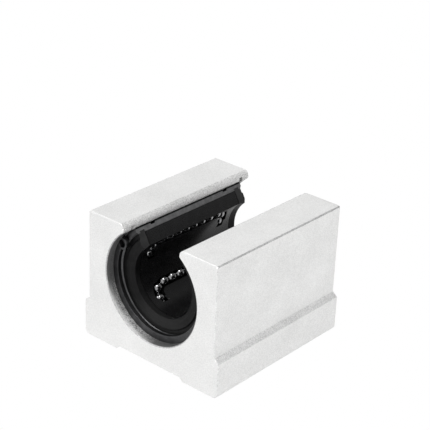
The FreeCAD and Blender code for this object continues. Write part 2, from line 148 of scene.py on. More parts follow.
def flattenFaces(piece, sharpAngle):
    # smooth up to the angle, with corner normals weighted by area, so that a flat face stays flat beside a
    # rounded edge
    smoothTo(piece.data, sharpAngle)
    weighting = piece.modifiers.new("normals", "WEIGHTED_NORMAL")
    weighting.keep_sharp = True
    settle(piece)


def softenEdges(piece, width, segments=2):
    # a small rounded face of the given width along every sharp edge
    bevel = piece.modifiers.new("edges", "BEVEL")
    bevel.width = width * mm
    bevel.segments = segments
    bevel.limit_method = "ANGLE"
    bevel.angle_limit = math.radians(tolerance["bevelTurn"])
    settle(piece)


def dress(piece, slot, nodes, *materials):
    # materials, body and the imported nodes that the piece stands for; the record slot is not used
    for material in materials:
        piece.data.materials.append(material)
    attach(piece, "root")
    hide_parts(*nodes)


def roundCorner(before, corner, after, radius, count=7):
    # exact arc between two sides: a rational quadratic curve that starts on one side, is drawn towards the
    # corner and ends on the other side; the corner's weight is the cosine of half the turn, and each side
    # gives the radius times the tangent of half the turn
    before, corner, after = (np.array(point, float) for point in (before, corner, after))
    into = (corner - before) / np.linalg.norm(corner - before)
    out = (after - corner) / np.linalg.norm(after - corner)
    halfTurn = 0.5 * math.acos(float(np.clip(into @ out, -1, 1)))
    reach = radius * math.tan(halfTurn)
    share = np.linspace(0, 1, count)[:, None]
    start = (1 - share) ** 2
    middle = 2 * math.cos(halfTurn) * share * (1 - share)
    end = share**2
    curve = start * (corner - into * reach) + end * (corner + out * reach) + middle * corner
    return curve / (start + middle + end)


def roundedOutline(corners, closed=True):
    # corners are (across, up, radius), and each becomes an arc, save the two ends of an open outline
    places = [corner[:2] for corner in corners]
    last = len(corners) - 1
    pieces = []
    for index, (across, up, radius) in enumerate(corners):
        if not closed and index in (0, last):
            pieces.append(np.array([[across, up]]))
            continue
        pieces.append(roundCorner(places[index - 1], (across, up), places[(index + 1) % len(places)], radius))
    return np.concatenate(pieces)


# shares of the pitch that are flat
threadForm = {
    "crest": 0.25,
    "root": 0.25,
}


def ridge(turns):
    # height of a thread: 0 at the root, 1 at the crest, which comes at every half turn, straight in between
    flank = (1 - threadForm["crest"] - threadForm["root"]) / 2
    fromCrest = np.abs((turns % 1.0) - 0.5)
    return np.clip((0.5 - threadForm["root"] / 2 - fromCrest) / flank, 0, 1)


def newMaterial(name, colour, metallic, roughness, specular=0.5):
    # a node material with the values that are the same all over its surface
    material = bpy.data.materials.new(name)
    material.use_nodes = True
    shader = material.node_tree.nodes["Principled BSDF"]
    shader.inputs["Base Color"].default_value = (*colour, 1.0)
    shader.inputs["Metallic"].default_value = metallic
    shader.inputs["Roughness"].default_value = roughness
    shader.inputs["Specular IOR Level"].default_value = specular
    return material, material.node_tree, shader


def scaledPlace(tree, scale, origin=(0.0, 0.0, 0.0)):
    # object coordinates from an origin, in mm, times one scale for each axis
    place = tree.nodes.new("ShaderNodeTexCoord")
    mapping = tree.nodes.new("ShaderNodeMapping")
    mapping.inputs["Scale"].default_value = [factor / mm for factor in scale]
    mapping.inputs["Location"].default_value = [-start * factor for start, factor in zip(origin, scale)]
    tree.links.new(place.outputs["Object"], mapping.inputs["Vector"])
    return mapping.outputs["Vector"]


# most of the noise lies within these; they are drawn out to the whole range of a tone or of the gloss
narrowRange = (0.35, 0.65)
wideRange = (0.3, 0.7)


def noise(tree, scale, detail=2.0):
    # soft noise; the scale is about how many spots there are per mm along each axis
    texture = tree.nodes.new("ShaderNodeTexNoise")
    texture.inputs["Scale"].default_value = 1.0
    texture.inputs["Detail"].default_value = detail
    texture.inputs["Roughness"].default_value = 0.55
    tree.links.new(scaledPlace(tree, scale), texture.inputs["Vector"])
    return texture.outputs["Fac"]


def feed(tree, socket, value):
    # gives a socket a plain value, or links another node's output to it
    if isinstance(value, bpy.types.NodeSocket):
        tree.links.new(value, socket)
    else:
        socket.default_value = value


def remap(tree, value, fromLow, fromHigh, toLow=0.0, toHigh=1.0):
    # a straight line that takes fromLow to toLow and fromHigh to toHigh, held at both ends
    node = tree.nodes.new("ShaderNodeMapRange")
    ends = {"Value": value, "From Min": fromLow, "From Max": fromHigh, "To Min": toLow, "To Max": toHigh}
    for socket, number in ends.items():
        feed(tree, node.inputs[socket], number)
    return node.outputs["Result"]


def mixed(tree, share, first, second, dataType="FLOAT"):
    # first where the share is 0 and second where it is 1; each is a plain value or another node's output
    node = tree.nodes.new("ShaderNodeMix")
    node.data_type = dataType
    for socket, value in (("Factor", share), ("A", first), ("B", second)):
        feed(tree, node.inputs[socket], value)
    return node.outputs["Result"]


def calculated(tree, operation, first, second):
    # one step of arithmetic between two values, each a plain number or another node's output
    node = tree.nodes.new("ShaderNodeMath")
    node.operation = operation
    feed(tree, node.inputs[0], first)
    feed(tree, node.inputs[1], second)
    return node.outputs[0]


def sumOf(tree, values):
    # values is a list of (value, share); the sum of each value times its share
    scaled = [calculated(tree, "MULTIPLY", value, share) for value, share in values]
    total = scaled[0]
    for value in scaled[1:]:
        total = calculated(tree, "ADD", total, value)
    return total


def addBump(tree, shader, heights, distance):
    # the sum of the heights is the relief of the surface, in units of distance, in mm
    bump = tree.nodes.new("ShaderNodeBump")
    bump.inputs["Strength"].default_value = 1.0
    bump.inputs["Distance"].default_value = distance * mm
    tree.links.new(sumOf(tree, heights), bump.inputs["Height"])
    tree.links.new(bump.outputs["Normal"], shader.inputs["Normal"])


def blendTone(material, colour, axes, origin, near, far, most=1.0):
    # mixes a colour into the material; its share runs from 0 to most while the distance from the origin, in
    # mm and along the given axes only, runs from near to far
    tree = material.node_tree
    shader = tree.nodes["Principled BSDF"]
    reach = tree.nodes.new("ShaderNodeVectorMath")
    reach.operation = "LENGTH"
    tree.links.new(scaledPlace(tree, axes, origin), reach.inputs[0])
    share = remap(tree, reach.outputs["Value"], near, far, 0.0, most)
    before = shader.inputs["Base Color"].links[0].from_socket
    tree.links.new(mixed(tree, share, before, (*colour, 1.0), "RGBA"), shader.inputs["Base Color"])


aluminium = {
    "metallic": 0.4,
    "grainScale": 3.2,  # scales are per millimetre
    "mottleScale": 1.0,
    "cloudScale": 0.09,
    "grainTone": 0.44,  # how far each takes the colour towards the dark tone
    "mottleTone": 0.14,
    "cloudTone": 0.16,
    "glossSwing": 0.05,
}

plainTones = ((0.84, 0.84, 0.835), (0.48, 0.48, 0.475))  # light and dark

# contrast is that of grain and mottling, lines are their noise per mm along X, Y and Z, and what lines and
# grain add to the relief is in units of its depth
blockFinishes = {
    "drawnAluminium": {
        "tones": plainTones, "contrast": 0.8, "roughness": 0.46,
        "lines": (3.0, 0.1, 3.0), "lineRelief": 0.4, "grainRelief": 0.6, "depth": 0.014,
    },
    "milledAluminium": {
        "tones": plainTones, "contrast": 0.7, "roughness": 0.44,
        "lines": (0.12, 3.0, 3.0), "lineRelief": 0.4, "grainRelief": 0.6, "depth": 0.014,
    },
    "shoulderAluminium": {
        "tones": ((0.87, 0.87, 0.865), (0.45, 0.45, 0.45)), "contrast": 1.3, "roughness": 0.42,
        "lines": (0.5, 1.8, 0.5), "lineRelief": 1.6, "grainRelief": 0.6, "depth": 0.05,
    },
    # painted shade: the turned bore mixes strongly towards a very dark tone, so that it looks shadowed; its
    # turned lines are its own
    "turnedAluminiumPaintedShade": {
        "tones": ((0.78, 0.78, 0.78), (0.12, 0.12, 0.12)), "contrast": 2.0, "roughness": 0.4,
        "lines": (0.2, 6.0, 0.2), "lineRelief": 1.0, "grainRelief": 0.6, "depth": 0.05,
    },
    "slotAluminium": {
        "tones": plainTones, "contrast": 1.8, "roughness": 0.5,
        "lines": (2.0, 1.2, 2.0), "lineRelief": 1.0, "grainRelief": 1.0, "depth": 0.08,
    },
    "scuffedAluminium": {
        "tones": ((0.62, 0.62, 0.62), (0.2, 0.2, 0.2)), "contrast": 1.2, "roughness": 0.5,
        "lines": (2.0, 0.6, 2.0), "lineRelief": 1.2, "grainRelief": 0.8, "depth": 0.06,
    },
}


def aluminiumMaterial(name, finish):
    # satin aluminium: grain, mottling and slow clouds mix a light and a dark tone; the same grain, and
    # lines drawn or milled in one direction, make the relief
    light, dark = finish["tones"]
    roughness = finish["roughness"]
    swing = aluminium["glossSwing"]
    material, tree, shader = newMaterial(name, light, aluminium["metallic"], roughness)
    grain = noise(tree, [aluminium["grainScale"]] * 3)
    mottle = noise(tree, [aluminium["mottleScale"]] * 3, 3.0)
    clouds = noise(tree, [aluminium["cloudScale"]] * 3)
    lines = noise(tree, finish["lines"])
    tones = [
        (remap(tree, grain, *narrowRange), aluminium["grainTone"] * finish["contrast"]),
        (remap(tree, mottle, *narrowRange), aluminium["mottleTone"] * finish["contrast"]),
        (remap(tree, clouds, *wideRange), aluminium["cloudTone"]),
    ]
    colour = mixed(tree, sumOf(tree, tones), (*light, 1.0), (*dark, 1.0), "RGBA")
    tree.links.new(colour, shader.inputs["Base Color"])
    gloss = remap(tree, lines, *wideRange, roughness - swing, roughness + swing)
    tree.links.new(gloss, shader.inputs["Roughness"])
    addBump(tree, shader, [(grain, finish["grainRelief"]), (lines, finish["lineRelief"])], finish["depth"])
    return material


blockMaterials = {name: aluminiumMaterial(name, finish) for name, finish in blockFinishes.items()}

# painted light and shade on the bore: painted pale at its two mouths, as if lit there, and over that painted
# dark all round, as if in shadow, but for a crescent low on its -X side that is left lit
boreLightAndShade = [
    {
        "colour": (1.0, 1.0, 1.0), "axes": (0, 1, 0), "origin": (0, 0, 0),
        "near": blockHigh[1] - 1.6, "far": blockHigh[1] - 0.2, "most": 0.85,
    },
    {
        "colour": (0.1, 0.1, 0.1), "axes": (1, 0, 1), "origin": (8.5, 0, shaftHeight + 11.3),
        "near": 29.9, "far": 28.3, "most": 0.88,
    },
]
for shade in boreLightAndShade:
    blendTone(blockMaterials["turnedAluminiumPaintedShade"], **shade)
print("aluminium ready")

# marks are fine lines on steel and skin grain on plastic; patches are slow clouds of a second tone
steel = {
    "metallic": 1.0,
    "specular": 0.5,
    "markDetail": 3.0,
    "patchScale": 0.6,
    "patchRange": narrowRange,
    "patchTone": 0.7,  # the second tone is the first times this
    "glossSwing": 0.08,
}
moulded = {
    "metallic": 0.0,
    "specular": 0.3,
    "markDetail": 2.0,
    "patchScale": 0.5,
    "patchRange": (0.35, 0.7),
    "patchTone": 2.0,
    "glossSwing": 0.07,
}

darkSteel = (0.1, 0.1, 0.103)
blackPlastic = (0.003, 0.003, 0.0032)

# marks here are their noise per mm along X, Y and Z, and depth is that of their relief
bushFinishes = {
    "sleeveSteel": {
        **steel, "colour": darkSteel, "roughness": 0.36, "marks": (5.0, 0.15, 5.0), "depth": 0.012,
    },
    "groundSteel": {
        **steel, "colour": (0.26, 0.262, 0.265), "roughness": 0.34, "marks": (5.0, 0.15, 5.0), "depth": 0.012,
    },
    "springSteel": {
        **steel, "colour": darkSteel, "roughness": 0.4, "marks": (3.0, 0.5, 3.0), "depth": 0.015,
    },
    "blackenedSteel": {
        **steel, "colour": (0.05, 0.05, 0.052), "roughness": 0.4, "marks": (3.0, 3.0, 3.0), "depth": 0.008,
    },
    "polishedSteel": {
        **steel, "colour": (0.28, 0.28, 0.285), "roughness": 0.12, "marks": (4.0, 4.0, 4.0), "depth": 0.0006,
        "patchTone": 0.94,
    },
    "blackNylon": {
        **moulded, "colour": blackPlastic, "roughness": 0.3, "marks": (4.0, 4.0, 4.0), "depth": 0.008,
    },
    "sealRubber": {
        **moulded, "colour": blackPlastic, "roughness": 0.45, "marks": (3.0, 3.0, 3.0), "depth": 0.03,
        "specular": 0.13,
    },
    "cutRubber": {
        **moulded, "colour": (0.012, 0.012, 0.0122), "roughness": 0.6, "marks": (2.0, 2.0, 2.0),
        "depth": 0.05,
    },
}


def markedMaterial(name, look):
    # steel, plastic or rubber: patches mix the colour with its second tone, and fine marks make gloss and
    # relief uneven
    colour, roughness, swing = look["colour"], look["roughness"], look["glossSwing"]
    material, tree, shader = newMaterial(name, colour, look["metallic"], roughness, look["specular"])
    marks = noise(tree, look["marks"], look["markDetail"])
    patches = remap(tree, noise(tree, [look["patchScale"]] * 3), *look["patchRange"])
    second = [channel * look["patchTone"] for channel in colour]
    toned = mixed(tree, patches, (*colour, 1.0), (*second, 1.0), "RGBA")
    tree.links.new(toned, shader.inputs["Base Color"])
    gloss = remap(tree, marks, *wideRange, roughness - swing, roughness + swing)
    tree.links.new(gloss, shader.inputs["Roughness"])
    addBump(tree, shader, [(marks, 1.0)], look["depth"])
    return material


bushMaterials = {name: markedMaterial(name, look) for name, look in bushFinishes.items()}

# painted shade: the ground steel is darkened along its rim at the bush's outside, where the housing's lip
# shades it; painted light: the seals' rubber is painted paler low down
rimPaintedShade = {
    "colour": (0.01, 0.01, 0.01), "axes": (1, 0, 1), "origin": (0, 0, shaftHeight),
    "near": bushHigh[0] - 0.5, "far": bushHigh[0] - 0.3,
}
# painted light: the seals' rubber is paler low down
lowPaintedLight = {
    "colour": (0.017, 0.017, 0.017), "axes": (0, 0, 1), "origin": (0, 0, blockHigh[2]),
    "near": 22.0, "far": 28.0,
}
blendTone(bushMaterials["groundSteel"], **rimPaintedShade)
blendTone(bushMaterials["sealRubber"], **lowPaintedLight)
print("steel, plastic and rubber ready")


housing = {
    "footHeight": 10.4,
    "footStep": 1.55,  # from the foot's side to the wall's
    "shoulderRise": 1.3,
    "slotWidth": 19.3,
    "boreRadius": 16.0,
    "grooveDepth": 0.85,
    "groovePlay": 0.05,
    "mouthChamfer": 0.25,
    "endBreak": 0.15,  # broken edge round both end faces
    "footRound": 1.6,
    "topRound": 0.6,
    "lipRound": 1.5,
    "lipBreak": 0.25,  # where the slot meets the bore
    "reliefWidth": 24.0,
    "reliefDepth": 0.95,
    "reliefSlope": 1.1,
    "smallRound": 0.2,  # on every other corner of the section
    "arcSteps": 120,
    "sharpAngle": 30.0,
    "scuffTurns": (15, 55),  # degrees of the top's outer rounding that are scuffed
    "slotFinish": 0.7,  # share of the lip's rounding that has the slot's finish
    "endStrip": 0.3,  # how far inside the wall the finish of its end edges begins
    "boltHole": {"pitch": 1.0, "threadDepth": 0.5, "length": 12.0, "countersink": 0.3},
    "sideHole": {"radius": 2.5, "pitch": 0.8, "threadDepth": 0.0, "length": 12.0, "countersink": 0.25},
    # small chips knocked out of the front edges: (across, along, up, radius), from the middle of the base
    "nicks": [
        (-9.95, -25.0, 36.7, 0.4),
        (-10.6, -25.0, 37.7, 0.3),
        (-9.7, -24.3, 36.4, 0.3),
        (-22.4, -25.0, 37.75, 0.32),
        (22.3, -24.95, 37.7, 0.42),
        (22.3, -23.8, 37.7, 0.22),
        (22.4, -25.0, 33.0, 0.18),
        (24.0, -25.0, 10.0, 0.3),
        (23.0, -25.0, 11.3, 0.25),
    ],
}


def housingSection(boreRadius):
    # half the section as rounded corners from the middle of the base to the lip, the bore's arc from there
    # down to its lowest point, and the same again mirrored; what a wider bore would cut off is pushed out
    # to its radius
    base = -shaftHeight
    top = blockHigh[2] - shaftHeight
    foot = blockHigh[0]
    wall = foot - housing["footStep"]
    lip = housing["slotWidth"] / 2
    relief = housing["reliefWidth"] / 2
    small = housing["smallRound"]
    lipEnd = math.acos(lip / housing["boreRadius"])
    lipFoot = housing["boreRadius"] * math.sin(lipEnd) + housing["lipBreak"]
    corners = [
        (0.0, base + housing["reliefDepth"], 0.0),
        (relief - housing["reliefSlope"], base + housing["reliefDepth"], small),
        (relief, base, small),
        (foot, base, housing["footRound"]),
        (foot, base + housing["footHeight"], small),
        (wall, base + housing["footHeight"] + housing["shoulderRise"], small),
        (wall, top, housing["topRound"]),
        (lip, top, housing["lipRound"]),
        (lip, lipFoot, 0.0),
    ]
    outside = roundedOutline(corners, closed=False)
    outside *= np.maximum(1.0, boreRadius / np.linalg.norm(outside, axis=1, keepdims=True))
    lipEnd -= housing["lipBreak"] / housing["boreRadius"]
    angles = np.linspace(lipEnd, -math.pi / 2, housing["arcSteps"])
    arc = boreRadius * np.stack([np.cos(angles), np.sin(angles)], axis=1)
    right = np.concatenate([outside, arc])
    left = right[-2:0:-1] * [-1, 1]
    return np.concatenate([right, left])


def shrunk(outline, inset):
    # every corner of a closed outline moved into the material along the mean of its two sides' normals, by
    # the inset over the cosine between that and a side, and by twice the inset at most
    ahead = np.roll(outline, -1, axis=0) - outline
    ahead /= np.linalg.norm(ahead, axis=1, keepdims=True)
    square = np.stack([-ahead[:, 1], ahead[:, 0]], axis=1)
    normals = square + np.roll(square, 1, axis=0)
    normals /= np.linalg.norm(normals, axis=1, keepdims=True)
    lean = np.sum(normals * square, axis=1, keepdims=True)
    return outline + normals * inset / np.clip(lean, 0.5, 1.0)


def housingStations():
    # (place along the shaft, bore radius, inset) from the front end to the rear one
    half = blockHigh[1]
    bore = housing["boreRadius"]
    seat = bore + housing["grooveDepth"]
    chamfer = housing["mouthChamfer"]
    edge = housing["endBreak"]
    near = ringLow[1] - housing["groovePlay"]
    far = ringHigh[1] + housing["groovePlay"]
    front = [
        (-half, bore + chamfer - edge, edge),
        (-half + edge, bore + chamfer - edge, 0.0),
        (-half + chamfer, bore, 0.0),
        (-far, bore, 0.0),
        (-far, seat, 0.0),
        (-near, seat, 0.0),
        (-near, bore, 0.0),
    ]
    return front + [(-along, radius, inset) for along, radius, inset in reversed(front)]


def housingKinds(outline, rows):
    # the finish of each face, as its place in blockFinishes: from the middle of its edge in the rear end's
    # outline and from its row along the shaft; the two end faces come last
    kindOf = list(blockFinishes).index
    across, up = ((outline + np.roll(outline, -1, axis=0)) / 2).T
    across = np.abs(across)
    wall = blockHigh[0] - housing["footStep"]
    slotSide = housing["slotWidth"] / 2 + housing["lipRound"] * housing["slotFinish"]
    roundingFoot = blockHigh[2] - shaftHeight - housing["topRound"]
    turn = np.degrees(np.arctan2(up - roundingFoot, across - wall + housing["topRound"]))
    first, last = housing["scuffTurns"]
    slot = (across < slotSide) & (up > 0)
    turned = ~slot & (np.hypot(across, up) < housing["boreRadius"] + housing["mouthChamfer"])
    shoulder = (across > wall) & (up + shaftHeight > housing["footHeight"])
    kinds = np.full((rows - 1, len(outline)), kindOf("drawnAluminium"))
    kinds[:, turned] = kindOf("turnedAluminiumPaintedShade")
    kinds[:, slot] = kindOf("slotAluminium")
    kinds[:, shoulder] = kindOf("shoulderAluminium")
    kinds[:, (up > roundingFoot) & (turn > first) & (turn < last)] = kindOf("scuffedAluminium")
    kinds[np.ix_([0, 1, -2, -1], turned)] = kindOf("scuffedAluminium")
    kinds[np.ix_([0, -1], across > wall - housing["endStrip"])] = kindOf("shoulderAluminium")
    return np.append(kinds.reshape(-1), [kindOf("milledAluminium")] * 2)


cutterSettings = {
    "lead": 1.0,  # how far outside the face a threaded cutter starts
    "stationsPerTurn": 10,
    "around": 40,
    "coneSlope": 0.9,  # how much the countersink narrows per mm of depth
}


def threadedCutter(name, centre, axis, hole):
    # a screw-shaped plug that starts outside the face and ends flat: its radius is the hole's less the
    # thread's height, a helix in the two parameters angle and depth, opened to a cone at the mouth
    lead = cutterSettings["lead"]
    count = int((hole["length"] + lead) / hole["pitch"] * cutterSettings["stationsPerTurn"])
    along = np.linspace(-lead, hole["length"], count)[:, None]
    around = np.linspace(0, 2 * math.pi, cutterSettings["around"], endpoint=False)[None, :]
    wave = hole["radius"] - hole["threadDepth"] * ridge(along / hole["pitch"] - around / (2 * math.pi))
    cone = hole["radius"] + hole["countersink"] - cutterSettings["coneSlope"] * np.maximum(along, 0)
    spread = np.maximum(wave, cone)
    axis = np.array(axis, float)
    side = np.cross(axis, [0.0, 1.0, 0.0])
    other = np.cross(axis, side)
    places = (
        np.array(centre)
        + axis * along[..., None]
        + side * (spread * np.cos(around))[..., None]
        + other * (spread * np.sin(around))[..., None]
    )
    return newPiece(name, places * mm, cappedFaces(*spread.shape))


def nickCutter(across, along, up, radius):
    # a rough little ball centred on an edge
    mesh = bpy.data.meshes.new("nickCutter")
    body = bmesh.new()
    place = Matrix.Translation(Vector((across, along, up)) * mm)
    bmesh.ops.create_icosphere(body, subdivisions=1, radius=radius * mm, matrix=place)
    body.to_mesh(mesh)
    body.free()
    return linked("nickCutter", mesh)


def cutHoles(piece):
    # the chips, the four threaded holes in the base and the set screw's hole in the -X wall
    bolts = mountPlaces["base_bolts"]["dims"]
    boltHole = {**housing["boltHole"], "radius": bolts["hole_r_mm"]}
    halfAcross, halfAlong = bolts["spacing_x_mm"] / 2, bolts["spacing_y_mm"] / 2
    cutters = [nickCutter(*nick) for nick in housing["nicks"]]
    for across in (-halfAcross, halfAcross):
        for along in (-halfAlong, halfAlong):
            cutters.append(threadedCutter("boltCutter", (across, along, 0.0), (0, 0, 1), boltHole))
    wallPlace = (-blockHigh[0] + housing["footStep"], 0.0, shaftHeight)
    cutters.append(threadedCutter("screwCutter", wallPlace, (1, 0, 0), housing["sideHole"]))
    for cutter in cutters:
        cut = piece.modifiers.new("hole", "BOOLEAN")
        cut.operation = "DIFFERENCE"
        cut.solver = "EXACT"
        cut.object = cutter
    settle(piece)
    for cutter in cutters:
        bpy.data.objects.remove(cutter)


def makeHousing():
    # the section carried along the shaft, station by station, with a flat face over each end
    grid = []
    for along, boreRadius, inset in housingStations():
        outline = housingSection(boreRadius)
        if inset:
            outline = shrunk(outline, inset)
        grid.append(toFrame(outline[:, 0], along, outline[:, 1]))
    grid = np.array(grid)
    rows, columns = grid.shape[:2]
    kinds = housingKinds(outline, rows)
    piece = newPiece("housingBlock", grid, cappedFaces(rows, columns), faceKinds=kinds)
    cutHoles(piece)
    flattenFaces(piece, housing["sharpAngle"])
    dress(piece, "housing", ["housing"], *blockMaterials.values())


makeHousing()
print("housing built")

retainer = mergedCopy("ball_retainer", "ballRetainer", sharpAngle=25.0)
dress(retainer, "retainer", ["ball_retainer"], bushMaterials["blackNylon"])
print("retainer dressed")

bush = {
    "openingTurn": 30.0,  # degrees from upright to each cut face
    "sharpAngle": 35.0,
}


def cutTurn(radius):
    # the angle from upright at which a cut face of the bush meets a radius: the face leans by openingTurn
    # and passes below the shaft's axis, so a sine rule in the triangle axis, apex, meeting point gives it
    outer = bushHigh[0]
    cornerUp = bushHigh[2] - shaftHeight
    cornerAcross = math.sqrt(outer**2 - cornerUp**2)
    lean = math.radians(bush["openingTurn"])
    apexDrop = cornerAcross / math.tan(lean) - cornerUp
    return lean + np.arcsin(apexDrop * math.sin(lean) / radius)


def openRing(name, profile, steps):
    # each point (radius, along) of a closed profile is carried round the shaft, from one cut face to the
    # other; the cut faces take the second material
    radius = profile[:, 0][:, None]
    start = cutTurn(radius)
    share = np.linspace(0, 1, steps)[None, :]
    angle = start + (2 * math.pi - 2 * start) * share
    grid = toFrame(radius * np.sin(angle), profile[:, 1][:, None], radius * np.cos(angle))
    rows, columns = grid.shape[:2]
    faces = gridFaces(rows, columns, True, False).tolist()
    kinds = [0] * len(faces) + [1, 1]
    faces += [[row * columns + end for row in range(rows)] for end in (0, columns - 1)]
    piece = newPiece(name, grid, faces, faceKinds=kinds)
    flattenFaces(piece, bush["sharpAngle"])
    return piece


sleeve = {
    "wall": 1.74,
    "groovePitch": 28.9,
    "grooveWidth": 1.6,
    "grooveDepth": 0.75,
    "seatInset": 2.95,  # from its end to the inner groove that the seal snaps into
    "seatWidth": 1.7,
    "seatDepth": 0.6,
    "outerChamfer": 0.25,
    "innerChamfer": 0.55,
    "edge": 0.06,
    "steps": 220,
}


def seatEnds():
    # where the seal's groove begins and ends along the shaft
    near = bushHigh[1] - sleeve["seatInset"]
    return near, near + sleeve["seatWidth"]


def makeSleeve():
    # half the section, from the outer groove over the end to the seal's groove, and the same again mirrored
    outer = bushHigh[0]
    inner = outer - sleeve["wall"]
    end = bushHigh[1]
    edge = sleeve["edge"]
    near = sleeve["groovePitch"] / 2 - sleeve["grooveWidth"] / 2
    far = near + sleeve["grooveWidth"]
    floor = outer - sleeve["grooveDepth"]
    seat = inner + sleeve["seatDepth"]
    seatNear, seatFar = seatEnds()
    half = [
        (outer, near, edge),
        (floor, near, edge),
        (floor, far, edge),
        (outer, far, edge),
        (outer, end - sleeve["outerChamfer"], edge),
        (outer - sleeve["outerChamfer"], end, edge),
        (inner + sleeve["innerChamfer"], end, edge),
        (inner, end - sleeve["innerChamfer"], edge),
        (inner, seatFar, edge),
        (seat, seatFar, edge),
        (seat, seatNear, edge),
        (inner, seatNear, edge),
    ]
    corners = half + [(radius, -along, rounding) for radius, along, rounding in reversed(half)]
    piece = openRing("bushSleeve", roundedOutline(corners), sleeve["steps"])
    dress(piece, "sleeve", ["bush_sleeve"], bushMaterials["sleeveSteel"], bushMaterials["groundSteel"])


makeSleeve()
print("sleeve built")

seal = {
    "rimRadius": 11.15,
    "rimRound": 0.5,
    "stepRadius": 12.9,
    "stepDepth": 0.35,
    "stepSlope": 0.2,  # half the width of the step's slope
    "stepFootRound": 0.15,
    "stepTopRound": 0.2,
    "lipRadius": 10.03,
    "lipDepth": 0.65,  # of the lip behind the face
    "lipLand": 0.25,
    "lipRound": 0.06,
    "reliefRadius": 10.4,
    "edge": 0.1,
    "seatPlay": 0.03,
    "steps": 160,
}


def makeSeal(side, name, node):
    # section from the back: the flange in the sleeve's seat, the stepped face, the lead to the lip, the
    # relief behind
    outer = sealHigh[0]
    back = sealLow[1]
    face = sealHigh[1]
    edge = seal["edge"]
    seatNear, seatFar = seatEnds()
    near = max(seatNear, back) + seal["seatPlay"]
    far = seatFar - seal["seatPlay"]
    flange = outer + sleeve["seatDepth"] - seal["seatPlay"]
    stepFoot = seal["stepRadius"] + seal["stepSlope"]
    stepTop = seal["stepRadius"] - seal["stepSlope"]
    lip = seal["lipRadius"]
    lipNear = face - seal["lipDepth"]
    corners = [
        (outer, back, 0.0),
        (outer, near, 0.0),
        (flange, near, edge),
        (flange, far, edge),
        (outer, far, 0.0),
        (outer, face - seal["stepDepth"], edge),
        (stepFoot, face - seal["stepDepth"], seal["stepFootRound"]),
        (stepTop, face, seal["stepTopRound"]),
        (seal["rimRadius"], face, seal["rimRound"]),
        (lip, lipNear, seal["lipRound"]),
        (lip, lipNear - seal["lipLand"], seal["lipRound"]),
        (seal["reliefRadius"], back, 0.0),
    ]
    piece = openRing(name, roundedOutline(corners) * [1, side], seal["steps"])
    dress(piece, "seal", [node], bushMaterials["sealRubber"], bushMaterials["cutRubber"])


makeSeal(-1, "frontSeal", "front_seal")
makeSeal(1, "rearSeal", "rear_seal")
print("seals built")

snapRing = {
    "edge": 0.09,
    "sharpAngle": 30.0,
}
for name, node in (("frontSnapRing", "front_snap_ring"), ("rearSnapRing", "rear_snap_ring")):
    piece = mergedCopy(node, name)
    softenEdges(piece, snapRing["edge"])
    flattenFaces(piece, snapRing["sharpAngle"])
    dress(piece, "snap_ring", [node], bushMaterials["springSteel"])
print("snap rings dressed")

ball = {
    "radius": 1.5875,
    "around": 28,
    "poleToPole": 18,
}


def ballCentres(nodeName):
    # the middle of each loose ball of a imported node: corners in the same place are one, each corner takes
    # the lowest number in its triangles until none changes, and the corners that share a number are a ball
    mesh = frame["nodes"][nodeName].data
    places = np.empty(len(mesh.vertices) * 3)
    mesh.vertices.foreach_get("co", places)
    corners = np.empty(len(mesh.loops), np.int32)
    mesh.loops.foreach_get("vertex_index", corners)
    places, merged = np.unique(places.reshape(-1, 3), axis=0, return_inverse=True)
    triangles = merged.reshape(-1)[corners].reshape(-1, 3)
    number = np.arange(len(places))
    changed = True
    while changed:
        lowest = number.copy()
        np.minimum.at(lowest, triangles, number[triangles].min(axis=1, keepdims=True))
        changed = not np.array_equal(lowest, number)
        number = lowest
    return np.array([places[number == start].mean(axis=0) for start in np.unique(number)])


def makeBalls(nodeName, name):
    # spheres as grids of fall and turn: sin(fall) cos(turn), sin(fall) sin(turn), cos(fall), times the
    # radius
    centres = ballCentres(nodeName)
    rows, columns = ball["poleToPole"] + 1, ball["around"]
    fall = np.linspace(0, math.pi, rows)[:, None]
    turn = np.linspace(0, 2 * math.pi, columns, endpoint=False)[None, :]
    directions = np.broadcast_arrays(np.sin(fall) * np.cos(turn), np.sin(fall) * np.sin(turn), np.cos(fall))
    sphere = np.stack(directions, axis=-1).reshape(-1, 3) * ball["radius"] * mm
    points = centres[:, None, :] + sphere[None, :, :]
    firstCorners = np.arange(len(centres)) * len(sphere)
    faces = gridFaces(rows, columns, False, True)[None, :, :] + firstCorners[:, None, None]
    piece = newPiece(name, points, faces.reshape(-1, 4), 180.0)
    dress(piece, "ball", [nodeName], bushMaterials["polishedSteel"])


for circuit in range(1, 5):
    for stretch in ("loaded", "front_turn", "return", "rear_turn"):
        nodeName = "circuit_%d_%s_balls" % (circuit, stretch)
        makeBalls(nodeName, "balls%d%s" % (circuit, stretch.title().replace("_", "")))
print("balls built")

setScrew = {
    "radius": 2.48,
    "pitch": 0.8,
    "threadDepth": 0.42,
    "threadInset": 0.04,  # of the first station on the thread
    "chamfer": 0.45,
    "socketAcross": 2.5,
    "socketDepth": 2.4,
    "socketMouth": 0.15,
    "socketLand": 0.1,
    "socketCone": 0.35,  # depth of the cone in the socket's floor
    "floorShare": 0.96,  # of the socket's width, where the cone begins
    "poleRadius": 0.001,
    "around": 72,
    "stationsPerTurn": 12,
}


